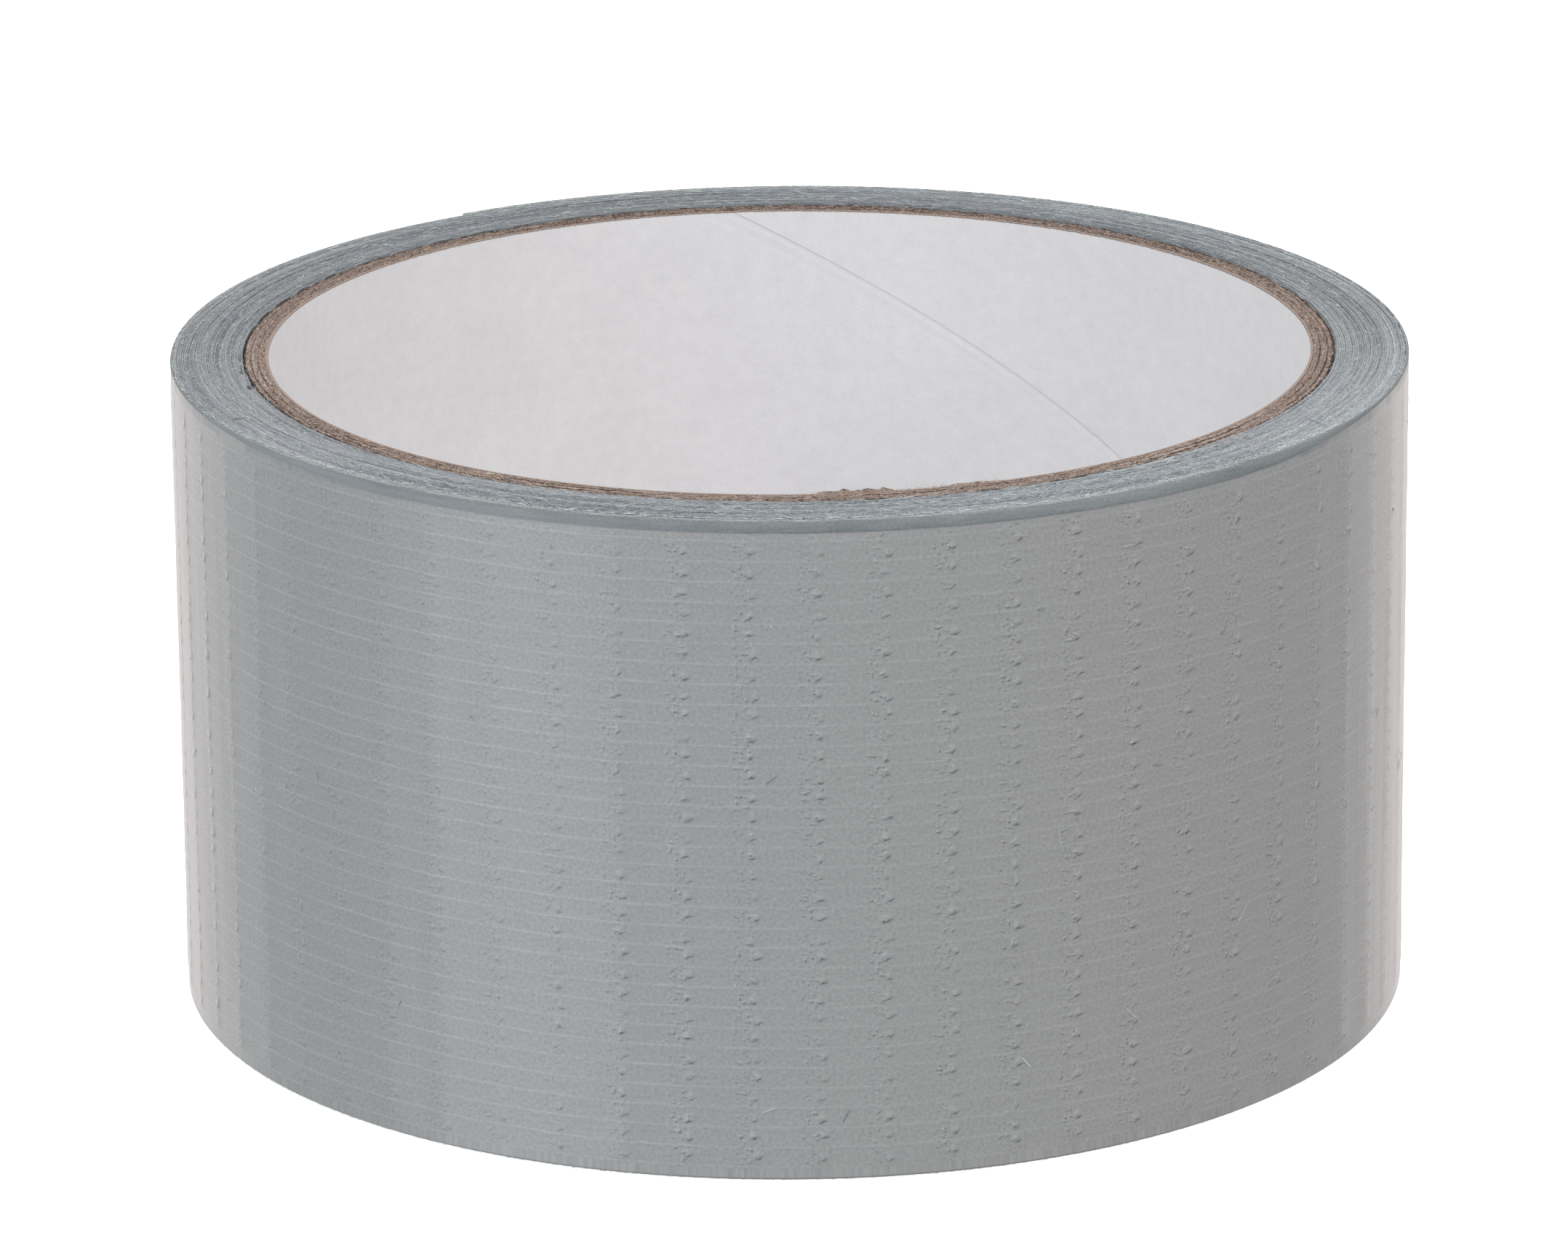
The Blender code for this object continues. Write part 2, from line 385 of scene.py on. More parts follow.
class Graph:
    """The nodes of a material or of the world."""

    def __init__(self, owner, shader):
        owner.use_nodes = True
        self.owner = owner
        self.tree = owner.node_tree
        self.shader = self.tree.nodes[shader]

    def feed(self, socket, value):
        if isinstance(value, Value):
            self.tree.links.new(value.socket, socket)
        else:
            socket.default_value = value

    def node(self, kind, inputs=(), **settings):
        node = self.tree.nodes.new("ShaderNode" + kind)
        for name, setting in settings.items():
            setattr(node, name, setting)
        for name, value in dict(inputs).items():
            self.feed(node.inputs[name], value)
        return node

    def math(self, operation, *values):
        node = self.node("Math", operation=operation)
        for socket, value in zip(node.inputs, values):
            self.feed(socket, value)
        return Value(self, node.outputs[0])

    def place(self, name="place"):
        """The three numbers kept with each point of the mesh."""
        attribute = self.node("Attribute", attribute_name=name)
        split = self.node("SeparateXYZ", {"Vector": Value(self, attribute.outputs["Vector"])})
        return [Value(self, output) for output in split.outputs]

    def position(self):
        """The point's own place, in millimetres."""
        coordinates = self.node("TexCoord")
        split = self.node("SeparateXYZ", {"Vector": Value(self, coordinates.outputs["Object"])})
        return [Value(self, output) / MM for output in split.outputs]

    def vector(self, x, y=0.0, z=0.0):
        joined = self.node("CombineXYZ", {"X": x, "Y": y, "Z": z})
        return Value(self, joined.outputs[0])

    def noise(self, x, y=0.0, z=0.0, detail=2.0, roughness=0.5, distortion=0.0):
        """Cloudy noise around 0, mostly from -1 to 1. One unit of x is about one cloud."""
        inputs = {
            "Vector": self.vector(x, y, z),
            "Scale": 1.0,
            "Detail": detail,
            "Roughness": roughness,
            "Distortion": distortion,
        }
        cloud = self.node("TexNoise", inputs)
        return (Value(self, cloud.outputs["Fac"]) - 0.5) * 4.0

    def chances(self, x, y, z=0.0):
        """Three random numbers from 0 to 1 for each whole x, y and z."""
        white = self.node("TexWhiteNoise", {"Vector": self.vector(x, y, z)})
        split = self.node("SeparateColor", {"Color": Value(self, white.outputs["Color"])})
        return [Value(self, output) for output in split.outputs]

    def bell(self, *terms):
        """exp(-(a^2 + b^2 ...))"""
        total = 0.0
        for term in terms:
            total = term * term + total
        return self.math("EXPONENT", total * -1.0)

    def step(self, value, low, high):
        """0 below low, 1 above high, smooth between."""
        inputs = {"Value": value, "From Min": low, "From Max": high}
        node = self.node("MapRange", inputs, interpolation_type="SMOOTHSTEP")
        return Value(self, node.outputs[0])

    def mix(self, share, first, second):
        """A colour between two colours."""
        node = self.node("Mix", data_type="RGBA")
        for number, value in ((0, share), (6, first), (7, second)):
            if not isinstance(value, Value) and number:
                value = (*value, 1.0)
            self.feed(node.inputs[number], value)
        return Value(self, node.outputs[2])

    def finish(self, colour, roughness, height=None):
        """Colour, roughness, and a height in millimetres for the bump."""
        self.feed(self.shader.inputs["Base Color"], colour)
        self.feed(self.shader.inputs["Roughness"], roughness)
        if height is not None:
            inputs = {"Height": height, "Distance": MM, "Strength": 1.0}
            bump = self.node("Bump", inputs)
            self.feed(self.shader.inputs["Normal"], Value(self, bump.outputs[0]))
        return self.owner


def surface(name, specular=0.5):
    """The nodes of a new material."""
    graph = Graph(bpy.data.materials.new(name), "Principled BSDF")
    graph.shader.inputs["Specular IOR Level"].default_value = specular
    return graph


# ---------------------------------------------------------------- materials


def film_material():
    """Grey polyethylene over cloth: grain, faint warp lines and a column of pillows at each weft, with
    painted light and shade on the pillows, lumps and shoulder.
    """
    g = surface("tape_film")
    length, across, fullness = g.place()
    weft = g.math("ROUND", length / WEFT_PITCH)
    beside = length - weft * WEFT_PITCH
    waver = g.noise(length * 0.05, 3.0) * 0.05 + g.noise(length * 0.4, across * 0.3, 6.0) * 0.045
    from_first = (across - WARP_FIRST - waver) / WARP_PITCH
    cell = g.math("FLOOR", from_first)
    over = (from_first - cell - 0.5) * WARP_PITCH
    size, sideways, upwards = g.chances(weft, cell)
    ragged_x = g.noise(length * 2.2, across * 2.2, 11.0) * 0.10
    ragged_y = g.noise(length * 2.2, across * 2.2, 12.0) * 0.10
    bump_x = (beside - (sideways - 0.5) * 0.35 + ragged_x) / (size * 0.16 + 0.21)
    from_pillow = over - (upwards - 0.5) * 0.45
    bump_y = from_pillow + ragged_y
    full = g.step(fullness, 0.0, 0.9)
    pillow = g.bell(bump_x, bump_y / 0.33) * full
    # Each pillow's hollow dents the bump, and its dark crescent below the pillow is painted shade.
    hollow = g.bell((bump_x - 0.30) / 0.80, (bump_y + 0.30 - bump_x * 0.09) / 0.085) * full
    # Painted highlight on the upper side of each pillow.
    painted_gleam = g.bell((bump_x + 0.3) / 0.8, (bump_y - 0.12) / 0.20) * full
    # Toward the sides, where the pillows are seen edge-on, the near flank is painted lit and the far flank
    # painted in shade.
    seen_edge_on = g.step(g.math("ABSOLUTE", length - 4.0), 41.0, 51.0)
    far_flank_painted_shade = g.bell((bump_x - 0.75) / 0.40, bump_y / 0.36) * full * seen_edge_on
    near_flank_painted_light = g.bell((bump_x + 0.55) / 0.50, bump_y / 0.36) * full * seen_edge_on
    cluster = g.bell(from_pillow / 0.6) * 0.65 + 0.35
    beside_band = g.step(beside, -1.75, -1.1) * (1.0 - g.step(beside, -0.2, 0.15)) * cluster
    beside_band = beside_band * (full * 0.6 + 0.4)
    # Small lumps beside each pillow lift the bump. Each is also painted lighter as painted light, and a copy
    # shifted below it is painted darker as painted shade.
    lumps = g.noise(length * 3.0, across * 4.0, 1.0, detail=1.0)
    under_lumps = g.noise(length * 3.0 - 0.30, across * 4.0 + 0.50, 1.0, detail=1.0)
    pimples = g.step(lumps, 0.15, 1.0) * beside_band
    lump_painted_shade = g.math("MAXIMUM", g.step(under_lumps, 0.15, 1.0) * beside_band - pimples, 0.0)
    thread = g.bell((WARP_PITCH / 2 - g.math("ABSOLUTE", over)) / 0.075)
    thread_shows = g.step(g.noise(length * 0.2, cell * 7.3, 2.0, detail=3.0), -0.7, 0.9)
    shows_left = g.step(length, -50.0, -36.0) * (1.0 - g.step(length, -14.0, 14.0))
    line = thread * (thread_shows * 0.75 + 0.25) * (shows_left * 0.65 + 0.95)
    drawn = g.noise(length * 0.4, across * 4.0, 8.0, detail=3.0)
    lip = g.step(across + drawn * 0.04, HIGH_CREASE - 0.10, HIGH_CREASE + 0.08)
    inside = g.step(across, LOW_CREASE + 0.1, LOW_CREASE + 0.4)
    inside = inside * (1.0 - g.step(across, HIGH_CREASE - 0.45, HIGH_CREASE - 0.15))
    grain = g.noise(length * 4.0, across * 4.0, 5.0, detail=3.0, roughness=0.7)
    mottle = g.noise(length * 0.25, across * 0.35, 7.0, detail=2.0)
    flutes = g.noise(length * 1.3, across * 0.05, 9.0, detail=3.0)
    smears = g.noise(length * 0.3, across * 2.2, 4.0, detail=3.0)
    relief = pillow * 0.028 - hollow * 0.040 + pimples * 0.022 + line * 0.006
    height = (relief + flutes * 0.0060) * inside + grain * 0.0008
    shade = mottle * 0.02 + smears * 0.03 + grain * 0.31 + 0.5
    # Lightened by the warp lines, the painted lit near flanks, the painted gleam and the painted light on the
    # lumps.
    shade = (line * 0.27 + near_flank_painted_light * 0.35 + painted_gleam * 0.26 + pimples * 0.32) * inside + shade
    side = g.mix(shade, (0.232, 0.232, 0.233), (0.430, 0.430, 0.431))
    # Painted shade: dark crescents under the pillows, under the small lumps and on the far flanks.
    painted_shade = (hollow * 0.60 + lump_painted_shade * 0.66 + far_flank_painted_shade * 0.55) * inside
    side = g.mix(painted_shade, side, (0.085, 0.086, 0.088))
    clouds = g.noise(length * 0.11, 14.0, across * 0.1, detail=2.0)
    chips = g.step(g.noise(length * 2.5, across * 5.0, 13.0, detail=3.0, roughness=0.7), 0.5, 1.4)
    # The shoulder is the same film in a darker colour: painted shade where it turns up over the end.
    edge_shade = drawn * 0.20 + grain * 0.30 + clouds * 0.20 + 0.5
    edge = g.mix(edge_shade, (0.105, 0.118, 0.124), (0.205, 0.222, 0.230))
    # Painted reflection of the soft box: the shoulder is paler on the left, mostly on its lower part.
    painted_left_reflection = 1.0 - g.step(length, -14.0, 4.0)
    painted_left_reflection = painted_left_reflection * (1.0 - g.step(across, HIGH_CREASE + 0.3, HIGH_CREASE + 0.9) * 0.9)
    edge = g.mix(painted_left_reflection * 0.42, edge, (0.265, 0.288, 0.300))
    fuzz = g.step(across + grain * 0.20 + drawn * 0.12, HIGH_CREASE + 0.95, HIGH_CREASE + 1.30)
    edge = g.mix(fuzz * 0.3, edge, (0.52, 0.55, 0.56))
    edge = g.mix(chips * 0.40, edge, (0.52, 0.55, 0.56))
    colour = g.mix(lip, side, edge)
    g.feed(g.shader.inputs["Specular IOR Level"], 0.5 - lip * 0.35)
    return g.finish(colour, 0.28 + lip * 0.3, height)


def slit_edge_material():
    """The edges of many turns, cut through: blue-grey film with streaks and specks of white thread."""
    g = surface("slit_edges", specular=0.25)
    along_tape, inwards, from_lip = g.place()
    x, y, _ = g.position()
    rings = g.noise(inwards * 2.1, x * 0.03, y * 0.03, detail=2.0)
    bands = g.noise(inwards * 5.2, x * 0.05, y * 0.05, detail=2.0)
    streaks = g.noise(along_tape * 0.35, inwards * 9.0, 7.0, detail=4.0, roughness=0.7)
    strands = g.noise(along_tape * 1.8, inwards * 18.0, 2.0, detail=3.0, roughness=0.7)
    matted = g.noise(x * 3.0, y * 3.0, 4.0, detail=4.0, roughness=0.75, distortion=0.8)
    specks = g.noise(x * 8.0, y * 8.0, 3.0, detail=3.0, roughness=0.75)
    lip = g.bell((from_lip - 0.8) / 1.1)
    right = g.step(x, 18.0, 44.0)
    back = g.step(y, 5.0, 42.0)
    front = g.step(y * -1.0, 22.0, 42.0)
    shade = rings * 0.12 + bands * 0.12 + streaks * 0.16 + strands * 0.20 + specks * 0.17
    outer = 1.0 - g.step(inwards, 1.0, 3.0)
    # Lighter to the right and at the back and darker at the front, most on the outer turns: partly whiter
    # matted fibre, partly painted sheen of the cut fibres.
    shade = matted * (right * 0.08 + 0.04) + shade + right * (outer * 0.09 + 0.04)
    shade = shade + back * (outer * 0.15 - 0.01) - front * (outer * 0.08 + 0.04)
    shade = shade + lip * (strands * 0.24 + 0.05) + 0.37
    dark = g.mix(g.step(shade, 0.0, 0.50), (0.062, 0.076, 0.087), (0.300, 0.320, 0.338))
    colour = g.mix(g.step(shade, 0.46, 1.05), dark, (0.78, 0.80, 0.81))
    height = strands * 0.018 + specks * 0.015 + streaks * 0.010
    return g.finish(colour, 0.8, height)


def scrim_material():
    """Off-white cloth, thread by thread."""
    g = surface("cloth_scrim", specular=0.2)
    length, across, _ = g.place()
    twist = g.noise(length * 8.0, across * 3.0, 1.0, detail=2.0)
    colour = g.mix(twist * 0.3 + 0.5, (0.46, 0.47, 0.46), (0.74, 0.74, 0.71))
    return g.finish(colour, 0.85, twist * 0.01)


def adhesive_material():
    """Tacky off-white adhesive, with the cloth's threads showing through it."""
    g = surface("adhesive", specular=0.5)
    length, across, _ = g.place()
    from_first = (across - WARP_FIRST) / WARP_PITCH
    cell = g.math("FLOOR", from_first)
    to_warp = (0.5 - g.math("ABSOLUTE", from_first - cell - 0.5)) * WARP_PITCH
    weft = g.math("ROUND", length / WEFT_PITCH)
    to_weft = length - weft * WEFT_PITCH
    warp = g.bell(to_warp / 0.13)
    wefts = g.bell(to_weft / 0.24) + g.bell((to_weft + 0.7) / 0.2) * 0.6
    cloth = g.math("MAXIMUM", warp, wefts)
    ropes = g.noise(length * 0.5, across * 3.0, 1.0, detail=3.0)
    pits = g.step(g.noise(length * 1.4, across * 1.4, 2.0, detail=2.0), 0.7, 1.3)
    shade = cloth * 0.42 + ropes * 0.10 - pits * 0.25 + 0.35
    colour = g.mix(shade, (0.36, 0.37, 0.35), (0.70, 0.70, 0.66))
    height = cloth * 0.02 + ropes * 0.006 - pits * 0.012
    return g.finish(colour, 0.30 + pits * 0.3, height)


def board_material(name, groove):
    """Brown chipboard, torn through: short fibres of mixed colour. groove sets how much painted shade darkens
    its outermost edge, by the tape.
    """
    g = surface(name, specular=0.15)
    length, through, height = g.place()
    fibres = g.noise(length * 2.0, through * 11.0, height * 3.0, detail=4.0, roughness=0.75)
    crumbs = g.noise(length * 6.0, through * 8.0, height * 8.0, detail=3.0, roughness=0.7)
    patches = g.noise(length * 0.3, through * 2.0, 1.0, detail=3.0)
    layers = g.noise(length * 0.05, through * 8.0, 2.0, detail=2.0)
    shows = g.step(g.noise(length * 0.07, 4.0, height * 0.1), -0.5, 0.8)
    split = g.bell((through - 0.52) / 0.055) * shows
    ragged = g.noise(length * 0.8, height * 2.0, 5.0, detail=4.0, roughness=0.7)
    # Painted shade in the groove between the outer ply's edge and the tape.
    groove_painted_shade = g.step(through + ragged * 0.06, 0.26, 0.46) * groove
    _, y, _ = g.position()
    # Painted shade: the board is darker towards the back.
    back = g.step(y, 0.0, 36.0)
    shade = fibres * 0.46 + crumbs * 0.42 + patches * 0.12 + layers * 0.14 - split * 0.6
    shade = shade - back * 0.13 - groove_painted_shade * 0.58 + 0.42
    dark = g.mix(g.step(shade, 0.0, 0.5), (0.046, 0.031, 0.024), (0.275, 0.211, 0.180))
    colour = g.mix(g.step(shade, 0.45, 1.15), dark, (0.76, 0.66, 0.58))
    return g.finish(colour, 0.95, fibres * 0.03 + crumbs * 0.02)


def liner_material(high):
    """White-grey paper, faintly mottled, with painted light lighter to the right and darker to the left, a
    painted shadow along its seam and a painted lit band on the lap beside it. Its cut edge takes the board's
    colour.
    """
    g = surface("liner_paper", specular=0.25)
    length, past_seam, height = g.place()
    x, _, _ = g.position()
    # Painted light: the paper is lighter towards the right and darker towards the left.
    right = g.step(x, -8.0, 32.0)
    left = g.step(x * -1.0, 8.0, 36.0)
    before_seam = past_seam - TURN * CORE_BORE
    # Painted shadow along both edges of the seam, and a painted lit band on the lap just past it.
    line = g.bell(past_seam / 0.24) + g.bell(before_seam / 0.20)
    band = g.bell((past_seam - 1.6) / 1.1)
    cloud = g.noise(length * 0.12, height * 0.12, 1.0, detail=4.0)
    pulp = g.noise(length * 0.8, height * 0.8, 2.0, detail=5.0, roughness=0.7)
    tooth = g.noise(length * 7.0, height * 7.0, 3.0, detail=2.0)
    smudge = g.step(g.noise(length * 0.5, height * 0.3, 6.0, detail=5.0, roughness=0.7), 0.9, 2.0)
    dots = g.step(g.noise(length * 1.3, height * 1.3, 8.0, detail=1.0), 1.05, 1.45)
    warm = g.noise(length * 0.2, height * 0.2, 9.0, detail=2.0)
    shade = cloud * 0.12 + pulp * 0.22 + tooth * 0.16 - smudge * 0.4 - dots * 0.35 + 0.5
    shade = shade + right * 0.30 - left * 0.12 + band * 0.22
    paper = g.mix(shade, (0.628, 0.616, 0.626), (0.785, 0.771, 0.783))
    paper = g.mix(g.step(warm, 0.3, 1.5) * 0.30, paper, (0.75, 0.715, 0.70))
    paper = g.mix(line * 0.38, paper, (0.42, 0.42, 0.44))
    cut = g.step(height + tooth * 0.05, high - 0.13, high - 0.05)
    colour = g.mix(cut, paper, g.mix(tooth * 0.45 + 0.48, (0.10, 0.075, 0.06), (0.42, 0.335, 0.29)))
    return g.finish(colour, 0.8, pulp * 0.006 + tooth * 0.004)


def fibre_material(name, first, second):
    g = surface(name, specular=0.2)
    number, _, _ = g.place()
    colour = g.mix(number, first, second)
    return g.finish(colour, 0.8)


# ---------------------------------------------------------------- pieces of tape


def build_outer_turn(materials):
    """The fixed stretch of the outermost turn, in its three layers."""
    first, last = TIP_ANGLE - TURN, BASE_ANGLE
    film = sheet("outer_turn_film", first, last, BACKING, materials["film"], relief_out=1.0)
    cloth = sheet("outer_turn_cloth", first, last, SCRIM, materials["scrim"])
    glue = sheet("outer_turn_glue", first, last, ADHESIVE, materials["adhesive"])
    for piece, layer in ((film, "backing"), (cloth, "scrim"), (glue, "adhesive")):
        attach(piece, "roll")
        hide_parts("outer_turn_" + layer)
    under_tail = sheet(
        "turn_under_tail_film",
        BASE_ANGLE - TURN,
        TIP_ANGLE - TURN,
        BACKING,
        materials["film"],
        relief_out=1.0,
    )
    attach(under_tail, "roll")
    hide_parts("wound_tape")


def build_tail(materials):
    """The free end, in pieces that run from the middle of one link to the middle of the next.
    """
    for number in range(LINKS):
        hinge = HINGE_ANGLES[number]
        first = hinge if number == 0 else hinge - LINK_ANGLE / 2
        last = TIP_ANGLE if number == LINKS - 1 else hinge + LINK_ANGLE / 2
        bend_start = around(RIM_RADIUS, hinge, 0.0)[0] * MM
        bend_end = around(RIM_RADIUS, hinge + LINK_ANGLE / 2, 0.0)[0] * MM
        body = f"tail_{number + 1}"
        layers = (
            ("film", "backing", BACKING, materials["film"], 1.0, 0.0),
            ("cloth", "scrim", SCRIM, materials["scrim"], 0.0, 0.0),
            ("glue", "adhesive", ADHESIVE, materials["adhesive"], 0.0, 0.5),
        )
        for stem, node, layer, material, relief_out, relief_in in layers:
            piece = sheet(f"{body}_{stem}", first, last, layer, material, relief_out, relief_in)
            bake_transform(piece)
            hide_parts(f"{body}_{node}")


def slit_levels(wound, angle):
    """How far the slit edge stands out along the spiral, at its outer side, its middle and its inner side."""
    random = np.random.default_rng(105)
    slow = ring_ripple(wound, (2.13, 3.41, 5.29), 101)
    group = ripple(wound, (TURN * 4.3, TURN * 2.6, TURN * 6.9), 102)
    quick = ring_ripple(wound, (23.3, 37.7, 61.1, 83.9), 103)
    every = ripple(wound, (TURN * 1.37, TURN * 2.21, TURN * 0.83), 104)
    fray = random.normal(size=len(wound))
    stands = 0.025 * slow + 0.045 * group + 0.006 * quick + 0.022 * every + 0.006 * fray
    to_core = (wound[-1] - wound) / TURN
    stands = stands - 0.30 * smooth(-to_core, -1.4, 0.0)
    place = from_front(angle)
    holes = sum(np.exp(-(((place - hole) / 0.9) ** 2)) for hole in HOLES)
    stands = stands - 0.9 * np.clip(holes, 0, 1) * smooth(-to_core, -3.6, -2.2) * smooth(to_core, 0.6, 1.2)
    bridges = smooth(np.sin(along(angle) / WEFT_PITCH * TURN), 0.1, 0.6) * smooth(np.sin(angle), 0.0, 0.7)
    stands = stands - 0.5 * bridges * smooth(-to_core, -2.2, -1.2)
    return np.stack([stands * 0.6 - 0.05, stands, stands + 0.008 * random.normal(size=len(wound))])


def build_wound_turns(materials):
    """The inner turns. Each end face is a spiral of slit edge, and every turn stands at its own height."""
    columns = 360
    angles = TIP_ANGLE - 2 * TURN + TURN * (np.arange(columns) + 1) / columns
    angles[-1] -= TURN
    side = wrap(COARSE, angles, BACKING[1] + 0.005)
    turns = int((RIM_RADIUS - SHOULDER_IN - TAPE_BORE) / TAPE_PITCH)
    wound = TURN * np.arange(turns * columns + 1) / columns
    angle = angles[0] + wound
    shares = np.array((0.0, 0.3, 0.75))[:, None]
    levels = slit_levels(wound, angle)
    length = np.broadcast_to(wound * SLIT_RADIUS, levels.shape)
    bore = around(TAPE_BORE, angles, np.array([0.5, WIDTH - 0.5])[:, None])
    points = [side]
    places = [strip_places(COARSE, angles) * [1, 0, 0]]
    quads = [grid_faces(len(COARSE), columns, closed=True)]
    ngons = []
    count = len(wound)
    first_bore = len(side) + 2 * 3 * count
    here = np.arange(columns)
    beside = (here + 1) % columns
    for end in (0, 1):
        first = len(side) + end * 3 * count
        press = LOW_PRESS if end else pressed(angle)[None, :]
        lip_radius = RIM_RADIUS - SHOULDER_IN * press - 0.03
        radii = lip_radius - (lip_radius - TAPE_BORE) * (wound[None, :] / TURN + shares) / turns
        height = SLIT_SINK - levels if end else WIDTH - SLIT_SINK + levels
        points.append(around(radii, angle[None, :], height))
        from_lip = (lip_radius - radii) / TAPE_PITCH
        spots = np.stack([length + 3000.0 * end, RIM_RADIUS - radii, from_lip], -1)
        places.append(spots.reshape(-1, 3))
        lip = 0 if end else (len(COARSE) - 1) * columns
        wall = first_bore + (0 if end else columns)
        last = count - 1 - columns
        between = first + 2 * count + np.arange(last + 1)
        next_turn = first + columns + np.arange(last + 1)
        innermost = between[-1] + here
        joins = [
            grid_faces(3, count, first),
            np.stack([between[:-1], between[1:], next_turn[1:], next_turn[:-1]], 1),
            np.stack([lip + here, lip + beside, first + here + 1, first + here], 1),
            np.stack([innermost, innermost + 1, wall + beside, wall + here], 1),
        ]
        outer_gap = [lip, first + columns, first + 2 * count, first + count, first]
        inner_end = [first + (row + 1) * count - 1 for row in range(3)]
        inner_gap = [wall, between[-1]] + inner_end
        for join in joins:
            quads.append(join[:, ::-1] if end else join)
        for gap in (outer_gap, inner_gap):
            ngons.append(np.array(gap[::-1] if end else gap))
    points.append(bore)
    places.append(np.tile([0.0, 5.4, 31.0], (2 * columns, 1)))
    quads.append(grid_faces(2, columns, first_bore, closed=True, flip=True))
    piece = new_piece(
        "wound_turns",
        np.concatenate(points),
        np.concatenate(quads),
        materials["slit_edges"],
        ngons,
        np.concatenate(places),
        sharp=80,
    )
    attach(piece, "roll")
    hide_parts("wound_tape")


# ---------------------------------------------------------------- the core


def torn(angle):
    """Where the board is torn and hangs over the liner at the upper end, at two places on the front."""
    place = from_front(angle)
    first = smooth(place, 2.2, 3.2) * smooth(-place, -12, -9)
    second = smooth(place, 15.5, 18.5) * smooth(-place, -23, -21)
    return np.clip(first + 0.7 * second + 0.25 * smooth(place, 9, 10) * smooth(-place, -19, -17), 0, 1)


def build_ply(node, material, wall_rows, columns, ragged=0.0, lap=0.0, settled=0.0):
    """One helical strip of the core, closed all round, with its seam left open."""
    shape = frame["nodes"][node].data.vertices
    reach = [np.hypot(v.co.x, v.co.y) / MM for v in shape]
    inner, outer = min(reach), max(reach)
    low, high = (corner.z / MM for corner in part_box(node))
    lead = SEAM_PITCH / TURN / inner
    gap = SEAM_GAP / 2 / inner / math.sin(math.atan(lead))
    turned = np.linspace(gap, TURN - gap, columns)
    shares = np.linspace(0, 1, 9)[1:-1]
    rounded = ragged + settled
    walls = np.linspace(low + rounded, high - rounded, wall_rows)
    loop = [(inner, z, 0.0) for z in walls]
    loop += [(inner + (outer - inner) * share, high - settled, 1.0) for share in shares]
    loop += [(outer, z, 0.0) for z in walls[::-1]]
    loop += [(outer + (inner - outer) * share, low + settled, -1.0) for share in shares]
    radius, height, face = (np.array(values)[:, None] for values in zip(*loop))
    start = SEAM_ANGLES[node] + (height - (low + high) / 2) * TURN / SEAM_PITCH
    angle = start + turned[None, :]
    random = np.random.default_rng(len(node) + wall_rows)
    rough = random.normal(size=angle.shape) * 0.5
    rough = rough + ring_ripple(angle, (97, 151, 211), 11) * 0.6 + ring_ripple(angle, (13, 29), 12) * 0.5
    height = height + face * ragged * rough * 0.6
    waves = ring_ripple(angle, (3, 5, 7), 21) * 0.03 + ripple(height, (37, 23), 22) * 0.012
    at_inner = (radius < inner + 0.001).astype(float)
    if lap:
        raised = 0.05 * smooth(-turned * inner, -lap, -lap * 0.55)[None, :]
        radius = radius - at_inner * (raised + waves)
    if node == "core_board_inner":
        upper = smooth(height, high - 2.5 * ragged, high - ragged) * (radius < inner + 0.3)
        frayed = 0.75 + 0.16 * random.normal(size=angle.shape) + 0.14 * ring_ripple(angle, (173, 241), 5)
        radius = radius - upper * torn(angle) * frayed * 1.0
    radius, angle, height = np.broadcast_arrays(radius, angle, height)
    points = around(radius, angle, height)
    last = (len(loop) - 1) * columns + np.arange(columns - 1)
    first = np.arange(columns - 1)
    closing = np.stack([last, first, first + 1, last + 1], 1)
    quads = np.concatenate([grid_faces(len(loop), columns, flip=True), closing])
    loop_start = np.arange(len(loop)) * columns
    ends = [loop_start, (loop_start + columns - 1)[::-1]]
    past_seam = np.broadcast_to(turned * inner, angle.shape)
    second = past_seam if lap else radius - inner
    places = np.stack([angle * inner, second, height], -1).reshape(-1, 3)
    name = node.replace("core_", "core_ply_")
    piece = new_piece(name, points, quads, material, ends, places, 50)
    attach(piece, "roll")
    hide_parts(node)
    return piece


# ---------------------------------------------------------------- loose fibres


def build_fibres(name, roots, directions, lengths, thickness, material, body, seed, curl=0.5):
    """Curved three-sided hairs in one mesh, each from a root along a direction."""
    random = np.random.default_rng(seed)
    count = len(roots)
    steps = np.linspace(0, 1, 5)
    bend = random.normal(size=(count, 3)) * curl
    heading = directions / np.linalg.norm(directions, axis=1, keepdims=True)
    line = roots[:, None, :] + lengths[:, None, None] * (
        heading[:, None, :] * steps[None, :, None]
        + bend[:, None, :] * (steps**2)[None, :, None] * 0.5
    )
    across = np.cross(heading, random.normal(size=(count, 3)))
    across /= np.linalg.norm(across, axis=1, keepdims=True)
    beyond = np.cross(heading, across)
    corners = TURN * np.arange(3) / 3
    spread = (
        across[:, None, :] * np.cos(corners)[None, :, None]
        + beyond[:, None, :] * np.sin(corners)[None, :, None]
    )
    taper = thickness[:, None, None, None] * (1 - 0.5 * steps)[None, :, None, None]
    points = (line[:, :, None, :] + spread[:, None, :, :] * taper).reshape(-1, 3)
    one = grid_faces(len(steps), 3, closed=True)
    quads = (one[None] + (np.arange(count) * len(steps) * 3)[:, None, None]).reshape(-1, 4)
    caps = []
    for fibre in range(count):
        start = fibre * len(steps) * 3
        end = start + (len(steps) - 1) * 3
        caps += [np.array([start + 2, start + 1, start]), np.array([end, end + 1, end + 2])]
    number = np.repeat(random.random(count), len(steps) * 3)
    places = np.stack([number, number, number], 1)
    piece = new_piece(name, points, quads, material, caps, places, 60)
    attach(piece, body)
    return piece


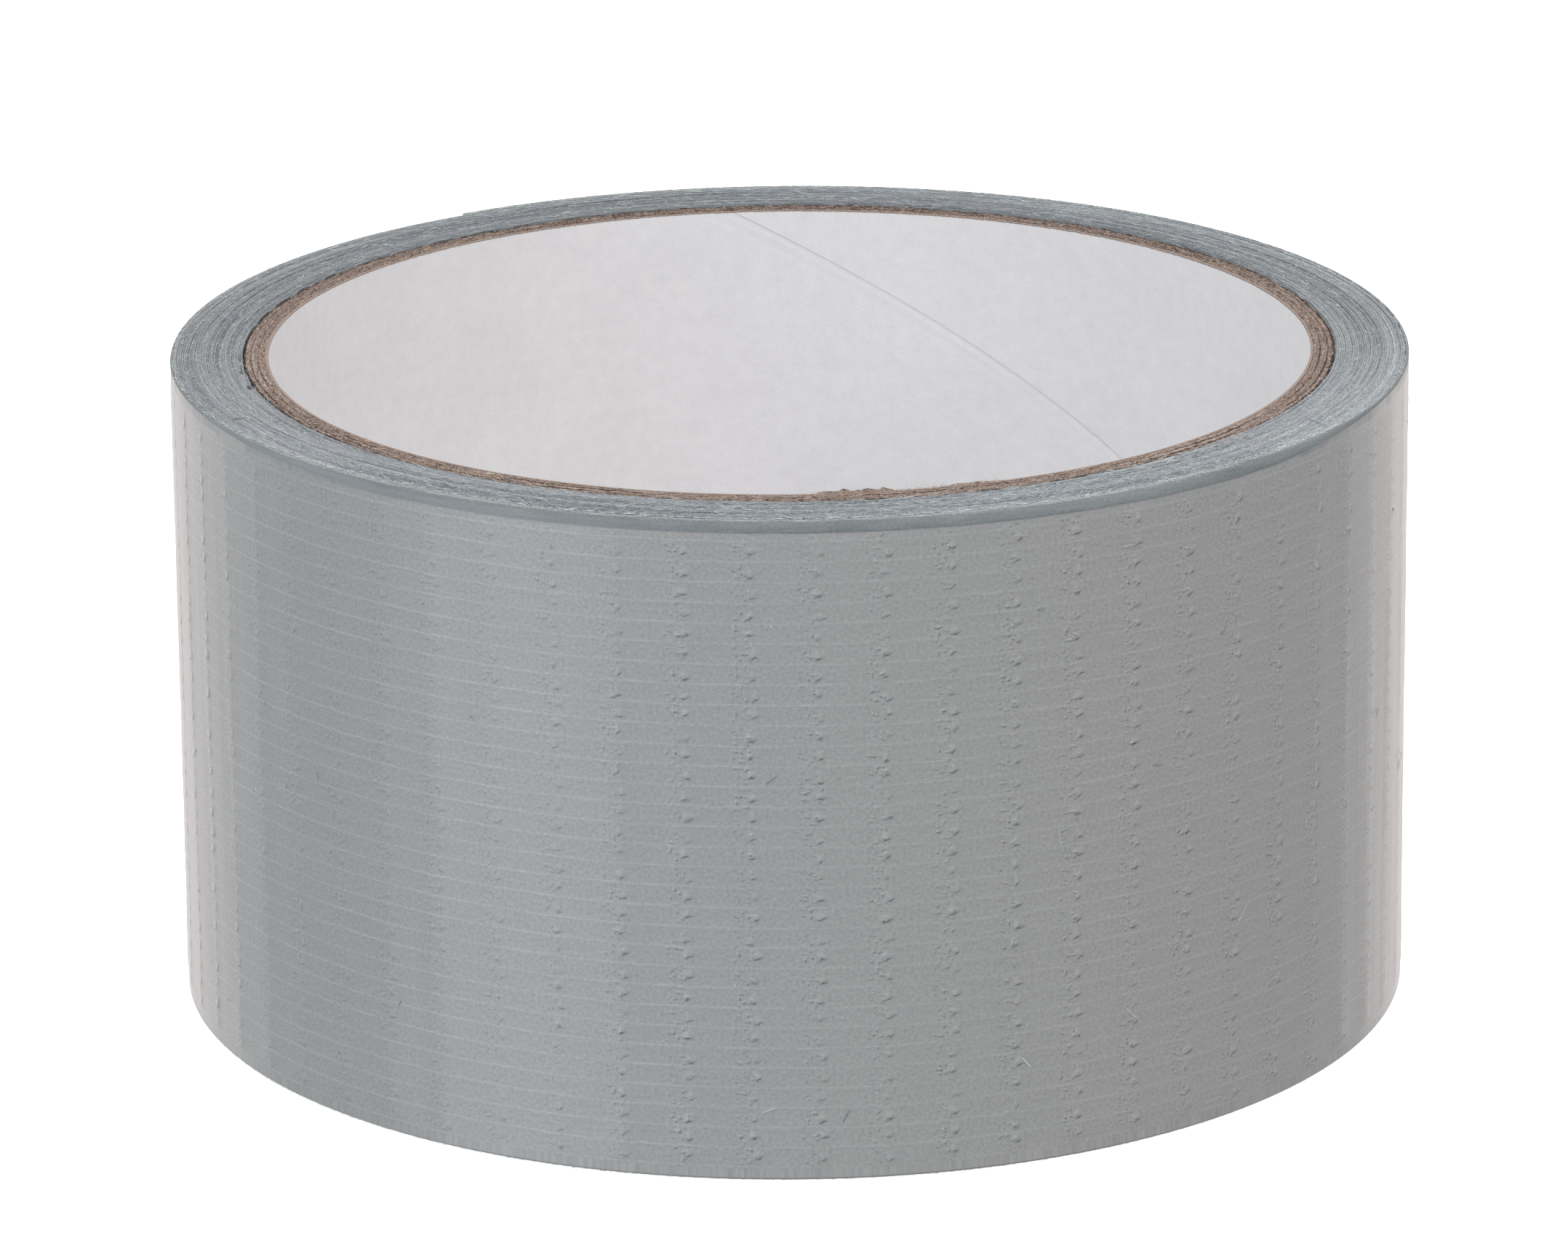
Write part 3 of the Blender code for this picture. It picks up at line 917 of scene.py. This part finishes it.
def lay_fibres(name, angle, radius, level, up, material, seed, longest, thick, spread=0.35):
    """Short fibres lying on an end face, mostly along the turns."""
    random = np.random.default_rng(seed)
    count = len(angle)
    roots = around(radius, angle, level)
    tangent = np.stack([-np.sin(angle), np.cos(angle), np.zeros(count)], 1)
    outward = np.stack([np.cos(angle), np.sin(angle), np.zeros(count)], 1)
    way = np.sign(random.random(count) - 0.5)[:, None]
    tilt = random.normal(size=(count, 2)) * [spread, 0.12]
    rise = np.array([0, 0, up])[None, :] * np.abs(tilt[:, 1:])
    directions = tangent * way + outward * tilt[:, :1] + rise
    lengths = longest * (0.2 + 0.8 * random.random(count) ** 2)
    thickness = thick * (0.6 + 0.4 * random.random(count))
    return build_fibres(name, roots, directions, lengths, thickness, material, "roll", seed, 0.3)


def build_end_fibres(materials):
    """Frayed thread ends and board fluff on the two end faces, thickest along the shoulder's lip."""
    random = np.random.default_rng(40)
    white, brown = materials["white_fibre"], materials["brown_fibre"]
    for end, level, up in (("upper", WIDTH - 0.06, 1), ("lower", 0.06, -1)):
        angle = random.random(5200) * TURN
        lip = RIM_RADIUS - SHOULDER_IN * (pressed(angle) if up > 0 else LOW_PRESS)
        radius = TAPE_BORE + (lip - TAPE_BORE) * random.random(len(angle)) ** 0.8
        lay_fibres(f"{end}_slit_fibres", angle, radius, level, up, white, 41, 1.1, 0.012, 0.2)
        angle = random.random(2400) * TURN
        lip = RIM_RADIUS - SHOULDER_IN * (pressed(angle) if up > 0 else LOW_PRESS)
        radius = lip - 0.25 * random.random(len(angle)) ** 1.5
        lay_fibres(f"{end}_lip_fibres", angle, radius, level + 0.02 * up, up, white, 42, 0.5, 0.016, 0.2)
        angle = random.random(4200) * TURN
        radius = BOARD_BORE + (TAPE_BORE - BOARD_BORE) * random.random(len(angle))
        lay_fibres(f"{end}_board_fibres", angle, radius, level - 0.10 * up, up, brown, 43, 0.45, 0.014, 0.8)
    angle = np.concatenate([random.normal(size=3400) * 0.8 - 0.3, random.normal(size=1400) * 0.6 + 2.9])
    radius = TAPE_BORE + (RIM_RADIUS - 0.4 - TAPE_BORE) * random.random(len(angle))
    lay_fibres("matted_fibres", angle, radius, WIDTH - 0.03, 1, white, 45, 0.7, 0.011, 0.9)
    angle = np.radians(-90 + 2 + 21 * random.random(900))
    angle = angle[torn(angle) > 0.5 * random.random(len(angle))]
    count = len(angle)
    roots = around(BOARD_BORE - 0.3 * random.random(count), angle, WIDTH - 0.16)
    spread = angle + math.pi + random.normal(size=count) * 0.9
    directions = np.stack([np.cos(spread), np.sin(spread), 0.03 * random.random(count)], 1)
    lengths = 0.10 + 0.40 * random.random(count)
    thickness = np.full(count, 0.015)
    build_fibres("torn_board_fibres", roots, directions, lengths, thickness, brown, "roll", 44, 0.6)


def build_flecks(materials):
    """Two white flecks and a straw-coloured one, lying on the upper end."""
    white, brown = materials["white_fibre"], materials["brown_fibre"]
    flecks = around(np.array([42.4, 41.7]), np.radians([-30.0, -222.5]), WIDTH + 0.04)
    ways = np.array([[0.58, -0.81, 0.03], [1.0, 0.5, 0.02]])
    sizes = np.array([2.3, 0.7]), np.array([0.06, 0.12])
    build_fibres("white_flecks", flecks, ways, *sizes, white, "roll", 46, 0.3)
    straw = around(np.array([43.6]), np.radians([-154.7]), WIDTH + 0.04)
    way = np.array([[0.9, -0.2, 0.02]])
    build_fibres("straw_fleck", straw, way, np.array([1.0]), np.array([0.08]), brown, "roll", 48, 0.3)


def build_lint(materials):
    """Dust on the side: dark hairs, pale hairs and pale specks, strewn over all but the free end."""
    random = np.random.default_rng(71)
    dark, white = materials["dark_fibre"], materials["white_fibre"]
    kinds = (
        ("dark_lint", 30, dark, 1.2, 0.024),
        ("pale_lint", 24, white, 2.4, 0.018),
        ("pale_specks", 50, white, 0.16, 0.035),
    )
    first = TIP_ANGLE - TURN + LINT_MARGIN / RIM_RADIUS
    last = BASE_ANGLE - LINT_MARGIN / RIM_RADIUS
    for number, (name, count, material, longest, thick) in enumerate(kinds):
        where, level, turned, long = random.random((4, count))
        angle = first + (last - first) * where
        height = LINT_MARGIN + (WIDTH - 2 * LINT_MARGIN) * level
        slant = TURN * turned
        lengths = longest * (0.3 + 0.7 * long**2)
        roots = around(RIM_RADIUS + 0.02, angle, height)
        tangent = np.stack([-np.sin(angle), np.cos(angle), np.zeros(count)], 1)
        directions = tangent * np.cos(slant)[:, None]
        directions[:, 2] += np.sin(slant)
        thickness = np.full(count, thick)
        build_fibres(name, roots, directions, lengths, thickness, material, "roll", 72 + number, 0.4)


# ---------------------------------------------------------------- floor, light and camera


def build_floor():
    """A plain pale floor, far larger than the roll. Its bounce is the lower half of the world's light."""
    bpy.ops.mesh.primitive_circle_add(vertices=128, radius=6.0, fill_type="NGON")
    floor = bpy.context.object
    floor.name = "floor"
    g = surface("pale_floor", specular=0.0)
    g.feed(g.shader.inputs["Base Color"], (0.9, 0.9, 0.9, 1.0))
    g.feed(g.shader.inputs["Roughness"], 0.9)
    g.feed(g.shader.inputs["Emission Color"], (1.0, 1.0, 1.0, 1.0))
    g.feed(g.shader.inputs["Emission Strength"], 0.86)
    floor.data.materials.append(g.owner)
    floor.visible_glossy = False
    floor.visible_diffuse = False


def build_world():
    """A white studio, darker on the camera's side, with a large soft box on the left."""
    world = bpy.data.worlds.new("studio")
    bpy.context.scene.world = world
    g = Graph(world, "Background")
    coordinates = g.node("TexCoord")
    split = g.node("SeparateXYZ", {"Vector": Value(g, coordinates.outputs["Generated"])})
    x, y, z = (Value(g, output) for output in split.outputs)
    side = g.math("ARCTAN2", x, y * -1.0)
    turned = g.math("ABSOLUTE", side - 0.07)
    astern = g.math("ABSOLUTE", side)
    raised = g.math("ARCSINE", z)
    sheen = g.step(turned, 1.96, 2.50)
    behind = sheen + g.step(turned, 2.62, 2.85) * 0.15 - g.step(astern, 2.90, 3.12) * 0.4
    box = g.step(side, -1.50, -1.05) * (1.0 - g.step(side, -0.66, -0.50))
    box = box * g.step(raised, -1.1, -0.8) * (1.0 - g.step(raised, 0.6, 1.0))
    overhead = g.step(raised, 0.5, 1.1)
    below = 1.0 - g.step(raised, -1.2, -0.2)
    light = (behind * 0.84 + overhead * 0.60 + 0.38) * (1.0 - below * 0.35)
    tint = g.mix(box, (1.0, 1.0, 1.0), (0.91, 1.0, 1.05))
    tint = g.mix(sheen, tint, (1.03, 0.968, 0.945))
    glow = g.node("VectorMath", operation="SCALE")
    g.feed(glow.inputs[0], tint)
    g.feed(glow.inputs["Scale"], light + box * 1.45)
    path = g.node("LightPath")
    seen = Value(g, path.outputs["Is Camera Ray"])
    g.feed(g.shader.inputs["Color"], g.mix(seen, Value(g, glow.outputs[0]), (1.0, 1.0, 1.0)))
    g.feed(g.shader.inputs["Strength"], 1.0)


def add_panel(name, azimuth, elevation, distance, size, power, colour=(1, 1, 1)):
    """A soft rectangular light that faces the roll. Azimuth 0 is the camera's side."""
    turned, raised = math.radians(azimuth), math.radians(elevation)
    place = Vector(
        (
            math.sin(turned) * math.cos(raised),
            -math.cos(turned) * math.cos(raised),
            math.sin(raised),
        )
    )
    light = bpy.data.lights.new(name, "AREA")
    light.shape = "RECTANGLE"
    light.size, light.size_y = size
    light.energy = power
    light.color = colour
    lamp = bpy.data.objects.new(name, light)
    lamp.location = place * distance
    lamp.rotation_euler = (-place).to_track_quat("-Z", "Y").to_euler()
    bpy.context.scene.collection.objects.link(lamp)


def build_camera():
    """A long lens, a little above the roll, and rolled by half a degree."""
    distance, raised = 0.6354, math.radians(17.83)
    target = Vector((0, 0, WIDTH * MM / 2))
    back = Vector((0, -math.cos(raised), math.sin(raised)))
    data = bpy.data.cameras.new("camera")
    data.sensor_width = 36.0
    data.lens = 197.63
    data.shift_x = -0.00484
    data.shift_y = 0.01812
    data.clip_start, data.clip_end = 0.01, 50
    camera = bpy.data.objects.new("camera", data)
    camera.location = target + back * distance
    upright = (-back).to_track_quat("-Z", "Y").to_matrix()
    roll = Matrix.Rotation(math.radians(-0.48), 3, "Z")
    camera.rotation_euler = (upright @ roll).to_euler()
    bpy.context.scene.collection.objects.link(camera)
    bpy.context.scene.camera = camera


def main():
    bpy.context.scene.view_settings.view_transform = "Standard"
    materials = {
        "film": film_material(),
        "slit_edges": slit_edge_material(),
        "scrim": scrim_material(),
        "adhesive": adhesive_material(),
        "board": board_material("core_board", 0.0),
        "outer_board": board_material("core_board_grooved", 1.0),
        "liner": liner_material(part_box("core_liner")[1].z / MM),
        "white_fibre": fibre_material("white_fibres", (0.44, 0.49, 0.51), (0.82, 0.85, 0.85)),
        "brown_fibre": fibre_material("brown_fibres", (0.10, 0.065, 0.05), (0.72, 0.62, 0.54)),
        "dark_fibre": fibre_material("dark_lint", (0.06, 0.07, 0.08), (0.14, 0.15, 0.18)),
    }
    build_outer_turn(materials)
    build_tail(materials)
    build_wound_turns(materials)
    build_ply("core_liner", materials["liner"], 97, 480, lap=LINER_LAP)
    build_ply("core_board_inner", materials["board"], 61, 700, ragged=0.07)
    build_ply("core_board_middle", materials["board"], 61, 700, ragged=0.07, settled=0.02)
    build_ply("core_board_outer", materials["outer_board"], 61, 700, ragged=0.08, settled=0.04)
    build_end_fibres(materials)
    build_flecks(materials)
    build_lint(materials)
    build_floor()
    build_world()
    add_panel("key", -5, 62, 1.6, (1.0, 0.6), 7.7)
    add_panel("fill", 52, 38, 1.6, (0.8, 0.8), 10.8)
    build_camera()


main()
